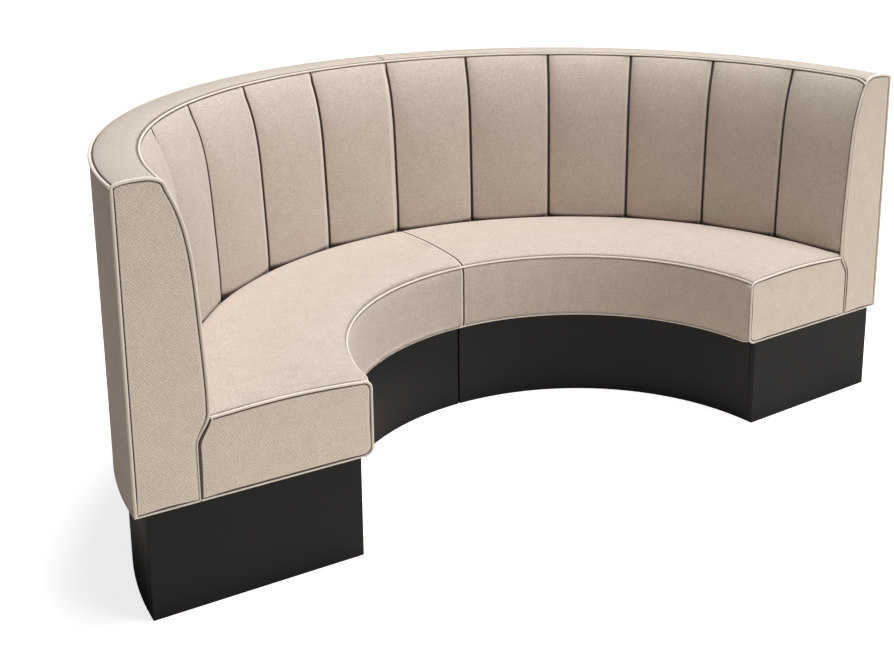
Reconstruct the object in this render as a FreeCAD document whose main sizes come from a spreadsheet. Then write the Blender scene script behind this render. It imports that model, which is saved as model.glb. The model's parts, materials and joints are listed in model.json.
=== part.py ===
"""Half-round upholstered banquette bench, made in two mirrored quarter sections.

Every piece of the right section is drawn in one frame: +Z is up, the Z axis is the centre of the
half round, the end face of the bench lies in the XZ plane and the joint between the two sections
lies section_angle further round. Curved pieces are profiles revolved about that axis, boards are
padded, and the fluted back is lofted. The left section is the mirror image of the right one.
"""
import FreeCAD, Part
import math
import os
import re

import Sketcher

V = FreeCAD.Vector
doc = FreeCAD.newDocument("half_round_banquette")

# Driving sizes in millimetres and degrees: alias, value, what it is
SIZES = (
    ("section_angle", 88, "angle of one section, from end face to joint"),
    ("outer_radius", 1180, "radius of the outside of the back"),
    ("bench_depth", 565, "depth from the seat front to the outside of the back"),
    ("seat_height", 457, "height of the seat's front edge"),
    ("back_edge_height", 1002, "height of the back's outer top edge"),
    ("band_crown", 10, "rise of the padded top band above its edges"),
    ("plinth_height", 260, "height of the plinth"),
    ("plinth_front_inset", 30, "plinth set back from the seat front"),
    ("plinth_back_inset", 25, "plinth set in from the outside back"),
    ("plinth_end_inset", 5, "plinth set in from the end face"),
    ("board", 18, "thickness of the frame boards"),
    ("bending_board", 8, "thickness of the curved back boards"),
    ("fit", 0.3, "clearance between curved faces and round cushions"),
    ("overrun", 20, "how far a cut runs past what it cuts"),
    ("end_cover", 16, "padded cover on the end faces"),
    ("outside_cover", 12.7, "padded cover on the outside of the back"),
    ("seat_foam", 57, "seat foam above the deck at the front edge"),
    ("seat_rise", 10, "how much higher the seat is at the back than at the front edge"),
    ("seat_crown", 10, "crown of the seat between front and back"),
    ("seat_border", 24.7, "padded border in front of the seat box"),
    ("seat_edge", 14, "size of the rounded front edge of the seat"),
    ("border_swell", 3, "swell of the seat's front border"),
    ("back_depth", 170, "depth of the back at the small of the back"),
    ("top_depth", 102, "depth of the back at its top"),
    ("channel_count", 6, "sewn channels in one section"),
    ("channel_swell", 4.7, "how far a channel bulges past the straight line between its seams"),
    ("channel_gap_angle", 0.05, "angle between two channels at their seam"),
    ("seat_gap", 5, "space between the seat cushion and the channels"),
    ("end_corner", 28, "size of the rounded inner corner at the top of the end face"),
    ("end_corner_set", 8, "how far that corner reaches past the top edge's inner piping"),
    ("end_rise", 4, "rise of the end face's top towards its inner corner"),
    ("end_dome", 5, "swell of the end face's top edge"),
    ("end_swell", 15, "swell of the end face's inner edge"),
    ("split_depth", 144, "depth of the end cover under the seat"),
    ("ply_foot_depth", 134, "depth from the outside to the inner board at the seat"),
    ("ply_head_depth", 86, "depth from the outside to the inner board at its top"),
    ("band_thickness", 17, "padding between the inner board's top and the top edge"),
    ("rail_drop", 17, "how far the top rail lies below the inner board's top"),
    ("seat_rib_count", 3, "radial boards under the seat of one section"),
    ("glide_block", 60, "side of a glide block"),
    ("glide_block_height", 40, "height of a glide block"),
    ("glide_block_lift", 14, "underside of a glide block above the floor"),
    ("glide_pad_radius", 15, "radius of a glide's foot"),
    ("glide_pad_height", 6, "height of a glide's foot"),
    ("glide_lift", 1, "foot above the floor when it is wound in"),
    ("glide_stud_radius", 4, "radius of the glide's stud"),
    ("glide_stud_length", 54, "length of the glide's stud"),
    ("thread_fit", 0.05, "radial clearance of the stud in its nut"),
    ("nut_barrel_radius", 5.5, "radius of the tee nut's barrel"),
    ("nut_barrel_length", 24, "length of the tee nut's barrel"),
    ("nut_flange_radius", 11, "radius of the tee nut's flange"),
    ("nut_flange", 1.5, "thickness of the tee nut's flange"),
    ("bolt_radius", 5, "radius of a joint bolt"),
    ("bolt_hole_radius", 5.5, "radius of a joint bolt's hole"),
    ("bolt_tail", 6, "thread that stands past the nut"),
    ("bolt_head_radius", 9, "radius round the joint bolt's head and nut"),
    ("bolt_head_height", 7, "height of the joint bolt's head"),
    ("bolt_nut_height", 8, "height of the joint bolt's nut"),
    ("piping_radius", 4, "radius of the sewn piping"),
)

# Sides of a piping's section, which is drawn with flats to keep the long curved pieces light
PIPING_SIDES = 8

# Sizes worked out from the driving ones
DERIVED = {
    "turn_in": "90 - section_angle",
    "seat_front_radius": "outer_radius - bench_depth",
    "channel_step": "section_angle / channel_count",
    "channel_crown": "channel_swell + (outer_radius - back_depth) * (1 - cos(channel_step / 2))",
    "piping_reach": f"piping_radius * cos(180 / {PIPING_SIDES})",
    "axis_back": "(outer_radius + piping_reach + seat_front_radius * cos(section_angle)) / 2",
    "plinth_front": "seat_front_radius + plinth_front_inset",
    "plinth_back": "outer_radius - plinth_back_inset",
    "plinth_start": "plinth_end_inset + board",
    "skin_start": "end_cover + fit",
    "frame_start": "end_cover + fit + board",
    "deck_top": "seat_height - seat_foam",
    "deck_under": "deck_top - board",
    "seat_board_front": "seat_front_radius + seat_border + fit",
    "cushion_back": "outer_radius - back_depth - channel_crown - seat_gap",
    "split_radius": "outer_radius - split_depth",
    "ply_foot": "outer_radius - ply_foot_depth",
    "ply_head": "outer_radius - ply_head_depth",
    "ply_top": "back_edge_height - band_thickness",
    "ply_slope": "(ply_head - ply_foot) / (ply_top - deck_top)",
    "rail_top": "ply_top - rail_drop",
    "rail_under": "rail_top - board",
    "rail_front": "ply_foot + bending_board + fit",
    "outer_ply_face": "outer_radius - outside_cover - fit",
    "outer_ply_back": "outer_ply_face - bending_board",
    "frame_back": "outer_ply_back - fit",
    "seat_rail_back": "ply_foot - fit",
    "channel_top": "back_edge_height - fit",
}

# The back's shoulder, where the end face starts to round in to the top: share of the channel's height, and
# share of the extra depth that the back has there
SHOULDER_HEIGHT_SHARE = 0.87
SHOULDER_DEPTH_SHARE = 0.51
# The same two shares at all the heights that shape the back
BACK_HEIGHT_SHARES = (0.0, 0.14, 0.32, 0.54, 0.74, SHOULDER_HEIGHT_SHARE, 0.945, 1.0)
BACK_DEPTH_SHARES = (0.97, 1.066, 1.018, 0.914, 0.758, SHOULDER_DEPTH_SHARE, 0.258, 0.0)
# Share of the full swell that a channel has at each of those heights
CHANNEL_SWELL_SHARES = (1.0, 1.0, 1.0, 1.0, 0.85, 0.6, 0.4, 0.2)
# Rise of a quarter circle above its chord, as a share of its radius
QUARTER_RISE_SHARE = 0.29

sheet = doc.addObject("Spreadsheet::Sheet", "sizes")
for row, (alias, number, words) in enumerate(SIZES, 1):
    sheet.set(f"A{row}", words)
    sheet.set(f"B{row}", str(number))
    sheet.setAlias(f"B{row}", alias)
doc.recompute()
ALIASES = {alias for alias, _, _ in SIZES}


def sized(text):
    """The expression text, with every size's name turned into its cell or its own expression."""
    def swap(match):
        word = match.group(0)
        if word in DERIVED:
            return "(" + sized(DERIVED[word]) + ")"
        return "sizes." + word if word in ALIASES else word
    return re.sub(r"[a-z_]+", swap, str(text))


def value(text):
    """The number that an expression has now."""
    number = sheet.evalExpression(sized(text))
    return float(getattr(number, "Value", number))


def new_body(label):
    body = doc.addObject("PartDesign::Body", label)
    body.Label = label
    return body


def origin_part(body, role):
    return [part for part in body.Origin.OriginFeatures if part.Role == role][0]


def new_sketch(body, role, turn=None, offset=None):
    """A sketch on one of the body's planes, turned about the Z axis and moved along its normal."""
    sketch = body.newObject("Sketcher::SketchObject", body.Label + "_outline")
    sketch.AttachmentSupport = [(origin_part(body, role), "")]
    sketch.MapMode = "FlatFace"
    if turn is not None:
        spin = V(0, 0, 1) if role == "XY_Plane" else V(0, 1, 0)
        sketch.AttachmentOffset = FreeCAD.Placement(V(), FreeCAD.Rotation(spin, 1))
        sketch.setExpression(".AttachmentOffset.Rotation.Angle", sized(turn))
    if offset is not None:
        sketch.setExpression(".AttachmentOffset.Base.z", sized(offset))
    return sketch


def pin(sketch, point, across, up):
    """Holds a sketch point at its two sizes, measured from the sketch's origin."""
    for kind, text, axis in (("DistanceX", across, -2), ("DistanceY", up, -1)):
        number = value(text)
        if number == 0:
            sketch.addConstraint(Sketcher.Constraint("PointOnObject", point, 1, axis))
            continue
        ends = (-1, 1, point, 1) if number > 0 else (point, 1, -1, 1)
        signed = text if number > 0 else f"-({text})"
        index = sketch.addConstraint(Sketcher.Constraint(kind, *ends, abs(number)))
        sketch.setExpression(f"Constraints[{index}]", sized(signed))


def outline(sketch, corners, bulges=None):
    """Closed outline through the corners. bulges gives an edge's rise outwards, as an arc."""
    bulges = bulges or {}
    places = [V(value(across), value(up), 0) for across, up in corners]
    points = []
    for place, (across, up) in zip(places, corners):
        points.append(sketch.addGeometry(Part.Point(place), True))
        pin(sketch, points[-1], across, up)
    for edge, first in enumerate(points):
        following = (edge + 1) % len(points)
        start, end = places[edge], places[following]
        chord = end - start
        if edge not in bulges:
            line = sketch.addGeometry(Part.LineSegment(start, end), False)
            ends = (1, 2)
        else:
            outwards = V(chord.y, -chord.x, 0).normalize()
            middle = (start + end) / 2 + outwards * value(bulges[edge])
            line = sketch.addGeometry(Part.Arc(start, middle, end), False)
            ends = (1, 2) if sketch.Geometry[line].StartPoint.distanceToPoint(start) < value("fit") else (2, 1)
        sketch.addConstraint(Sketcher.Constraint("Coincident", line, ends[0], first, 1))
        sketch.addConstraint(Sketcher.Constraint("Coincident", line, ends[1], points[following], 1))
        if edge in bulges:
            (across, up), (next_across, next_up) = corners[edge], corners[following]
            square = f"((({next_across}) - ({across}))^2 + (({next_up}) - ({up}))^2)"
            radius = f"{square} / (8 * abs({bulges[edge]})) + abs({bulges[edge]}) / 2"
            index = sketch.addConstraint(Sketcher.Constraint("Radius", line, value(radius)))
            sketch.setExpression(f"Constraints[{index}]", sized(radius))


def circle(sketch, across, up, radius):
    centre = sketch.addGeometry(Part.Point(V(value(across), value(up), 0)), True)
    pin(sketch, centre, across, up)
    ring = sketch.addGeometry(Part.Circle(V(value(across), value(up), 0), V(0, 0, 1), value(radius)), False)
    sketch.addConstraint(Sketcher.Constraint("Coincident", ring, 3, centre, 1))
    index = sketch.addConstraint(Sketcher.Constraint("Radius", ring, value(radius)))
    sketch.setExpression(f"Constraints[{index}]", sized(radius))


def polygon(sketch, across, up, radius, sides):
    """Regular polygon with a flat side below and above."""
    turns = [(side + 0.5) * 360 / sides for side in range(sides)]
    outline(sketch, [(f"{across} + {radius} * sin({turn})", f"{up} - {radius} * cos({turn})") for turn in turns])


def revolve(body, sketch, angle="section_angle"):
    turned = body.newObject("PartDesign::Revolution", body.Label + "_turned")
    turned.Profile = sketch
    turned.ReferenceAxis = (origin_part(body, "Z_Axis"), [""])
    turned.setExpression("Angle", sized(angle))
    return turned


def pad(body, sketch, length, reverse=False, middle=False):
    padded = body.newObject("PartDesign::Pad", body.Label + "_pad")
    padded.Profile = sketch
    padded.setExpression("Length", sized(length))
    padded.Reversed = reverse
    if middle:
        padded.SideType = "Symmetric"
    return padded


def trim_end(body, start):
    """Cuts a curved piece back to a flat face that lies start inside the end face."""
    sketch = new_sketch(body, "XZ_Plane")
    low, high = "seat_front_radius - overrun", "outer_radius + overrun"
    outline(sketch, ((low, "-overrun"), (high, "-overrun"),
                     (high, "back_edge_height + overrun"), (low, "back_edge_height + overrun")))
    doc.recompute()
    before = body.Shape.Volume
    cut = body.newObject("PartDesign::Pocket", body.Label + "_trim")
    cut.Profile = sketch
    cut.setExpression("Length", sized(start))
    doc.recompute()
    assert body.Shape.Volume < before, body.Label + " wasn't trimmed"


def curved(label, corners, bulges=None, start=None):
    """A piece of constant profile that runs from the end to the joint."""
    body = new_body(label)
    sketch = new_sketch(body, "XZ_Plane")
    outline(sketch, corners, bulges)
    revolve(body, sketch)
    if start:
        trim_end(body, start)
    return body


def board_at(body, corners, turn=None, start=None, thickness="board", middle=False, back=False, bulges=None,
             holes=()):
    """A flat upright board: parallel to the end face, or radial at an angle turn round the bench."""
    sketch = new_sketch(body, "XZ_Plane", turn, f"-({start})" if start else None)
    outline(sketch, corners, bulges)
    for across, up in holes:
        circle(sketch, across, up, "bolt_hole_radius")
    return pad(body, sketch, thickness, reverse=not back, middle=middle)


def piping_groove(body, across, up):
    """Cuts the round groove that a piping lies in."""
    sketch = new_sketch(body, "XZ_Plane")
    polygon(sketch, across, up, "(piping_radius + fit)", PIPING_SIDES)
    doc.recompute()
    before = body.Shape.Volume
    cut = body.newObject("PartDesign::Groove", body.Label + "_groove")
    cut.Profile = sketch
    cut.ReferenceAxis = (origin_part(body, "Z_Axis"), [""])
    cut.Angle = 360
    doc.recompute()
    assert body.Shape.Volume < before, body.Label + " has no groove"
    return body


def rectangle(left, right, low, high):
    return ((left, low), (right, low), (right, high), (left, high))


def ply_face(height):
    """Radius of the inner board's front face at a height above the deck."""
    return f"(ply_foot + ply_slope * ({height} - deck_top))"


def ply_back(height):
    return f"({ply_face(height)} + bending_board + fit)"


# Places of the curved pipings: radius from the axis and height
SEAT_PIPING = ("seat_front_radius + piping_radius / 2", "seat_height - seat_edge / 2")
OUTER_PIPING = ("outer_radius", "back_edge_height")
INNER_PIPING = ("outer_radius - top_depth - piping_radius / 2", "back_edge_height")

# Places of the joint bolts: radius from the axis and height
PLINTH_BOLTS = (("plinth_front + plinth_height / 2", "plinth_height / 2"),
                ("plinth_back - plinth_height / 2", "plinth_height / 2"))
SEAT_BOLTS = (("seat_board_front + plinth_height / 2", "(plinth_height + deck_under) / 2"),)
BACK_BOLTS = (("outer_radius - back_depth / 3", "seat_height"),
              ("outer_radius - back_depth / 3", "back_edge_height - plinth_height / 2"))


def plinth_pieces():
    front, back, inner_front, inner_back = "plinth_front", "plinth_back", "plinth_front + board", "plinth_back - board"
    yield curved("plinth_front_panel", rectangle(front, inner_front, "0", "plinth_height"), start="plinth_start")
    yield curved("plinth_back_panel", rectangle(inner_back, back, "0", "plinth_height"), start="plinth_start")
    end = new_body("plinth_end_panel")
    board_at(end, rectangle(front, back, "0", "plinth_height"), start="plinth_end_inset")
    yield end
    inside = (f"{inner_front} + fit", f"{inner_back} - fit - board^2 / {inner_back}")
    joint = new_body("plinth_joint_panel")
    board_at(joint, rectangle(*inside, "0", "plinth_height"), turn="section_angle", back=True, holes=PLINTH_BOLTS)
    yield joint
    ribs = new_body("plinth_ribs")
    for number in range(1, 3):
        board_at(ribs, rectangle(*inside, "glide_block_lift", "plinth_height"),
                 turn=f"section_angle * {number} / 3", middle=True)
    yield ribs


def glide_places():
    """Turn and local place of each glide: at the end face and at the joint, in front and at the back."""
    reach = "glide_block / 2"
    for turn, beside in ((None, f"plinth_start + {reach}"), ("section_angle", f"-(board + {reach})")):
        yield turn, f"plinth_front + board + {reach}", beside
        yield turn, f"sqrt((plinth_back - board)^2 - (plinth_start + glide_block)^2) - {reach}", beside


def glide_pieces():
    blocks, nuts = new_body("glide_blocks"), new_body("glide_nuts")
    under = "glide_block_lift"
    for turn, along, beside in glide_places():
        sketch = new_sketch(blocks, "XY_Plane", turn, under)
        half = "glide_block / 2"
        outline(sketch, rectangle(f"{along} - {half}", f"{along} + {half}", f"{beside} - {half}", f"{beside} + {half}"))
        circle(sketch, along, beside, "nut_barrel_radius + fit")
        pad(blocks, sketch, "glide_block_height")
        for level, radius, length in ((f"{under} - nut_flange", "nut_flange_radius", "nut_flange"),
                                      (under, "nut_barrel_radius", "nut_barrel_length")):
            sketch = new_sketch(nuts, "XY_Plane", turn, level)
            circle(sketch, along, beside, radius)
            circle(sketch, along, beside, "glide_stud_radius + thread_fit")
            pad(nuts, sketch, length)
    yield blocks
    yield nuts
    for number, (turn, along, beside) in enumerate(glide_places(), 1):
        glide = new_body(f"glide_{number}")
        for level, radius, length in (("glide_lift", "glide_pad_radius", "glide_pad_height"),
                                      ("glide_lift + glide_pad_height", "glide_stud_radius", "glide_stud_length")):
            sketch = new_sketch(glide, "XY_Plane", turn, level)
            circle(sketch, along, beside, radius)
            pad(glide, sketch, length)
        yield glide


def seat_pieces():
    front, back = "seat_board_front", "seat_rail_back"
    yield curved("seat_front_rail", rectangle(front, f"{front} + board", "plinth_height", "deck_under"),
                 start="frame_start")
    yield curved("seat_back_rail", rectangle(f"{back} - board", back, "plinth_height", "deck_under"),
                 start="frame_start")
    yield curved("seat_deck", rectangle(front, back, "deck_under", "deck_top"), start="skin_start")
    ribs = new_body("seat_ribs")
    board_at(ribs, rectangle(front, f"{back} - fit", "plinth_height", "deck_under"), start="skin_start")
    inside = (f"{front} + board + fit", f"{back} - board - fit - board^2 / {back}")
    for number in range(1, int(value("seat_rib_count")) + 1):
        board_at(ribs, rectangle(*inside, "plinth_height", "deck_under"),
                 turn=f"section_angle * {number} / (seat_rib_count + 1)", middle=True)
    board_at(ribs, rectangle(*inside, "plinth_height", "deck_under"), turn="section_angle", back=True,
             holes=SEAT_BOLTS)
    yield ribs
    yield seat_cushion()
    yield piping_along("seat_piping", SEAT_PIPING)


def piping_along(label, *places):
    """Round pipings that run from the end face to the joint."""
    piping = new_body(label)
    for place in places:
        sketch = new_sketch(piping, "XZ_Plane")
        polygon(sketch, *place, "piping_radius", PIPING_SIDES)
        revolve(piping, sketch)
    return piping


def seat_cushion():
    """Foam and cover in one piece: a crowned slab on the deck with a border down the front and the end."""
    cushion = new_body("seat_cushion")
    face, border = "seat_front_radius", "seat_front_radius + seat_border"
    sketch = new_sketch(cushion, "XZ_Plane")
    outline(sketch, ((face, "plinth_height + fit"), (border, "plinth_height + fit"), (border, "deck_top + fit"),
                     ("cushion_back", "deck_top + fit"), ("cushion_back", "seat_height + seat_rise"),
                     (f"{face} + seat_edge", "seat_height"), (face, "seat_height - seat_edge")),
            {4: "seat_crown", 5: f"seat_edge * {QUARTER_RISE_SHARE}", 6: "border_swell"})
    revolve(cushion, sketch)
    sketch = new_sketch(cushion, "XZ_Plane")
    edge = "split_radius - fit"
    outline(sketch, ((face, "plinth_height + fit"), (edge, "plinth_height + fit"),
                     (edge, "seat_height - seat_edge / 2"), (f"{face} + seat_edge", "seat_height - fit"),
                     (face, "seat_height - seat_edge")),
            {3: f"seat_edge * {QUARTER_RISE_SHARE}", 4: "border_swell"})
    pad(cushion, sketch, "end_cover", reverse=True)
    return piping_groove(cushion, *SEAT_PIPING)


def back_pieces():
    foot, head = "plinth_height", "ply_top"
    yield curved("back_bottom_rail", rectangle("rail_front", "frame_back", foot, f"{foot} + board"),
                 start="frame_start")
    yield curved("back_top_rail", ((ply_back("rail_under"), "rail_under"), ("frame_back", "rail_under"),
                                   ("frame_back", "rail_top"), (ply_back("rail_top"), "rail_top")),
                 start="frame_start")
    ribs = new_body("back_ribs")
    inset = f"frame_back - fit - board^2 / frame_back"
    shape = (("rail_front + fit", f"{foot} + board"), (inset, f"{foot} + board"), (inset, "rail_under"),
             (f"{ply_back('rail_under')} + fit", "rail_under"), ("rail_front + fit", "deck_top"))
    for number in (1, 2, 3):
        board_at(ribs, shape, turn=f"section_angle * {number} / 4", middle=True)
    board_at(ribs, shape, turn="section_angle", back=True, holes=BACK_BOLTS)
    yield ribs
    yield curved("back_inner_board", (("ply_foot", foot), ("ply_foot + bending_board", foot),
                                      ("ply_foot + bending_board", "deck_top"),
                                      ("ply_head + bending_board", head), ("ply_head", head),
                                      ("ply_foot", "deck_top")), start="frame_start")
    yield curved("back_outer_board", rectangle("outer_ply_back", "outer_ply_face", foot, head), start="frame_start")
    gable = new_body("back_end_board")
    board_at(gable, (("ply_foot", foot), ("outer_ply_face - fit", foot), ("outer_ply_face - fit", "rail_top"),
                     (ply_face("rail_top"), "rail_top"), ("ply_foot", "deck_top")), start="skin_start")
    yield gable
    yield back_channels()
    cover = curved("outside_back_cover", rectangle("outer_radius - outside_cover", "outer_radius", foot,
                                                   "back_edge_height - fit"), start="skin_start")
    yield piping_groove(cover, *OUTER_PIPING)
    tongue_front, tongue_back = ply_back("ply_top"), "outer_ply_back"
    lip = "outer_radius - top_depth"
    band = curved("back_top_band", ((tongue_front, "rail_top + fit"), (tongue_back, "rail_top + fit"),
                                   (tongue_back, "back_edge_height"), ("outer_radius", "back_edge_height"),
                                   (lip, "back_edge_height"), (tongue_front, "back_edge_height")),
                  {3: "band_crown"}, start="skin_start")
    piping_groove(band, *OUTER_PIPING)
    yield piping_groove(band, *INNER_PIPING)
    yield end_cover()
    yield piping_along("back_piping", OUTER_PIPING, INNER_PIPING)


def back_channels():
    """The fluted inside back: each channel is a loft whose sections bow out between two seams."""
    channels = new_body("back_channels")
    low, high = "deck_top + fit", "channel_top"
    half = "((channel_step - channel_gap_angle) / 2)"
    sections = []
    for height_share, depth_share, swell_share in zip(BACK_HEIGHT_SHARES, BACK_DEPTH_SHARES, CHANNEL_SWELL_SHARES):
        level = f"({low} + ({high} - ({low})) * {height_share})"
        seam = f"(outer_radius - top_depth - (back_depth - top_depth) * {depth_share})"
        rear = f"({ply_face(level)} - fit)" if height_share < 1 else "(ply_head - fit)"
        sketch = new_sketch(channels, "XY_Plane", "channel_step / 2", level)
        chord = f"({seam} * sin({half}))"
        sag = f"({rear} * (1 - cos({half})))"
        outline(sketch, ((f"{seam} * cos({half})", f"-{chord}"), (f"{rear} * cos({half})", f"-({rear} * sin({half}))"),
                         (f"{rear} * cos({half})", f"{rear} * sin({half})"), (f"{seam} * cos({half})", chord)),
                {1: sag, 3: f"channel_swell * {swell_share}"})
        sections.append(sketch)
    loft = channels.newObject("PartDesign::AdditiveLoft", "channel_loft")
    loft.Profile = sections[0]
    loft.Sections = sections[1:]
    loft.Ruled = True
    doc.recompute()
    repeat = channels.newObject("PartDesign::PolarPattern", "channel_repeat")
    repeat.Originals = [loft]
    repeat.Axis = (origin_part(channels, "Z_Axis"), [""])
    repeat.setExpression("Angle", sized("section_angle - channel_step"))
    repeat.setExpression("Occurrences", sized("channel_count"))
    channels.Tip = repeat
    trim_end(channels, "skin_start")
    return piping_groove(channels, *INNER_PIPING)


def end_cover():
    """The arm-like end face of the back, with its rounded inner top corner and its step at the seat."""
    cover = new_body("back_end_cover")
    face = "outer_radius - back_depth"
    corner = "outer_radius - top_depth"
    shoulder = f"(outer_radius - top_depth - (back_depth - top_depth) * {SHOULDER_DEPTH_SHARE})"
    shoulder_height = f"(deck_top + (channel_top - deck_top) * {SHOULDER_HEIGHT_SHARE})"
    board_at(cover, (("split_radius", "plinth_height"), ("outer_radius", "plinth_height"),
                     ("outer_radius", "back_edge_height"),
                     (f"{corner} + end_corner", "back_edge_height + end_rise"),
                     (f"{corner} - end_corner_set", "back_edge_height - end_corner"),
                     (shoulder, shoulder_height), (face, "seat_height + seat_rise"),
                     ("split_radius", "seat_height - seat_edge / 2 + fit")),
             thickness="end_cover",
             bulges={2: "end_dome", 3: f"end_corner * {QUARTER_RISE_SHARE}", 4: "end_rise", 5: "end_swell"})
    return piping_groove(cover, *OUTER_PIPING)


def place_section(body):
    """Turns a piece so that its joint lies in the YZ plane, and centres the bench over the origin."""
    body.Placement = FreeCAD.Placement(V(), FreeCAD.Rotation(V(0, 0, 1), 1))
    body.setExpression(".Placement.Rotation.Angle", sized("turn_in"))
    body.setExpression(".Placement.Base.y", sized("-axis_back"))


def joint_fasteners():
    """Bolts through the joint boards of both sections, with their nuts on the other side."""
    bolts, nuts = new_body("joint_bolts"), new_body("joint_nuts")
    for radius, height in PLINTH_BOLTS + SEAT_BOLTS + BACK_BOLTS:
        along = f"({radius} - axis_back)"
        sketch = new_sketch(bolts, "YZ_Plane", offset="board")
        polygon(sketch, along, f"({height})", "bolt_head_radius", 6)
        pad(bolts, sketch, "bolt_head_height")
        sketch = new_sketch(bolts, "YZ_Plane", offset="board")
        circle(sketch, along, f"({height})", "bolt_radius")
        pad(bolts, sketch, "board * 2 + bolt_nut_height + bolt_tail", reverse=True)
        sketch = new_sketch(nuts, "YZ_Plane", offset="-board")
        polygon(sketch, along, f"({height})", "bolt_head_radius", 6)
        circle(sketch, along, f"({height})", "bolt_radius + fit")
        pad(nuts, sketch, "bolt_nut_height", reverse=True)
    return bolts, nuts


right_pieces = [*plinth_pieces(), *glide_pieces(), *seat_pieces(), *back_pieces()]
kept = []
for body in right_pieces:
    name = body.Label
    place_section(body)
    body.Label = "right_" + name
    mirrored = doc.addObject("Part::Mirroring", "left_" + name)
    mirrored.Label = "left_" + name
    mirrored.Source = body
    mirrored.Base = V(0, 0, 0)
    mirrored.Normal = V(1, 0, 0)
    kept += [body, mirrored]
kept += joint_fasteners()
doc.recompute()

failed = [thing.Label for thing in doc.Objects if {"Invalid", "Error"} & set(thing.State)]
failed += [thing.Label for thing in kept if thing.Shape.isNull() or not thing.Shape.isValid()]
if failed:
    raise SystemExit("these failed: " + ", ".join(failed))

os.makedirs("parts", exist_ok=True)
for thing in kept:
    thing.Shape.exportStep(f"parts/{thing.Label}.step")
whole = Part.makeCompound([thing.Shape for thing in kept]).optimalBoundingBox()
print(len(kept), "pieces, box", [round(number, 1) for number in
      (whole.XMin, whole.YMin, whole.ZMin, whole.XMax, whole.YMax, whole.ZMax)])
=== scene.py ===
# %% [markdown]
# # A half-round upholstered banquette bench
#
# A restaurant booth bench, upholstered in a greige woven cloth, on a black plinth. The real bench is made in
# two quarter-round sections, left and right, that are bolted together in the middle. Plywood and board hold
# it up, foam gives it its shape, and the cloth is sewn with piping along every main edge. The boards and
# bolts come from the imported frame. This notebook makes what a guest sees and touches: the cushions, the
# channelled back, the covers and their piping, and the finish of every surface.

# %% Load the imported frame
import json
import math

import bmesh
import bpy
import numpy as np
from mathutils import Matrix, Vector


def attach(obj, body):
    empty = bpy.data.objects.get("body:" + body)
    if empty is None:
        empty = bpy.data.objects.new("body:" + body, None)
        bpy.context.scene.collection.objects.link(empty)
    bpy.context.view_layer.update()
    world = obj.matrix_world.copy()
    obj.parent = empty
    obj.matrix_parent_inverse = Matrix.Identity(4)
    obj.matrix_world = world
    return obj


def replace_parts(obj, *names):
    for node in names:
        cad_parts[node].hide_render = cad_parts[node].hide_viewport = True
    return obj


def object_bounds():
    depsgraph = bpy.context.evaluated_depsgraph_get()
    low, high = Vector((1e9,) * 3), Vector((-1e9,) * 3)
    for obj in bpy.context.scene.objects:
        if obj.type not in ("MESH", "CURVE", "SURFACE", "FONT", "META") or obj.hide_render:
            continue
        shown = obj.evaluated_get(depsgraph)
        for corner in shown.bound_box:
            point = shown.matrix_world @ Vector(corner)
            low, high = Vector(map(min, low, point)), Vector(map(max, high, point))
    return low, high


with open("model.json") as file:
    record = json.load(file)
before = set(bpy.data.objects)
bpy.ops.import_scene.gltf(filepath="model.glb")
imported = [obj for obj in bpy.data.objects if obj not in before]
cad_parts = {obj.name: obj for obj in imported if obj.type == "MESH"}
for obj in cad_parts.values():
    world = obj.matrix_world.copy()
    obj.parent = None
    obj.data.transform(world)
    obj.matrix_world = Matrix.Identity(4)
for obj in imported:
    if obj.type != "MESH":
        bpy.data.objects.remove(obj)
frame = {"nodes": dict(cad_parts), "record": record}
cad_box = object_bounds()
print("frame size in metres", [round(high - low, 3) for low, high in zip(*cad_box)])

# %% [markdown]
# ## The bench's own frame
#
# Everything on the bench is either curved round one upright axis or flat on an end face, so each piece is
# worked out in the frame of one section: the first number runs along the end face from the axis, the second
# goes into the section, and the third is the height. One function turns a section into its place on the
# right, and mirrors it for the left. That keeps every formula short, and both sides alike.

# %% Main sizes in metres
SECTION_ANGLE = math.radians(88)
OUTER_RADIUS = 1.180
SEAT_FRONT = 0.615
SEAT_EDGE_HEIGHT = 0.450
BACK_EDGE_HEIGHT = 1.002
COVER_BOTTOM = 0.2625
CHANNELS = 6
PIPING = 0.004
SPLIT_RADIUS = 1.036
CUSHION_BACK = 0.996
CROWN_FRONT, CROWN_BACK, CROWN_MIDDLE = 0.465, 0.468, 0.009
TURN_IN = math.pi / 2 - SECTION_ANGLE
AXIS_BACK = -cad_box[0].y + SEAT_FRONT * math.sin(TURN_IN)
SIDES = {"right": 1.0, "left": -1.0}
print("axis lies", round(AXIS_BACK, 4), "m in front of the frame's origin")


def place(points, side):
    """Section points (along the end face, into the section, height) to the bench: a turn by the end's angle
    about the axis, a shift to the axis, and a mirror for the left section."""
    along, into, height = points[..., 0], points[..., 1], points[..., 2]
    x = along * math.cos(TURN_IN) - into * math.sin(TURN_IN)
    y = along * math.sin(TURN_IN) + into * math.cos(TURN_IN) - AXIS_BACK
    return np.stack([SIDES[side] * x, y, height], -1)


def polar(radius, angle, height):
    """Section points at a radius from the axis, an angle from the end face and a height."""
    radius, angle, height = np.broadcast_arrays(radius, angle, height)
    return np.stack([radius * np.cos(angle), radius * np.sin(angle), height], -1)


def smooth(value):
    """S-shaped step from 0 to 1: three times the square less twice the cube."""
    value = np.clip(value, 0, 1)
    return value * value * (3 - 2 * value)


def roll_off(distance, width, depth):
    """How far a stuffed edge lies back from its face: depth at the seam, nothing past width, along a
    quarter of an ellipse."""
    near = np.clip(distance / width, 0, 1)
    return depth * (1 - np.sqrt(1 - (1 - near) ** 2))


def ellipse_rise(share):
    """Quarter ellipse from 0 to 1."""
    return np.sqrt(1 - (1 - np.clip(share, 0, 1)) ** 2)


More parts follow.
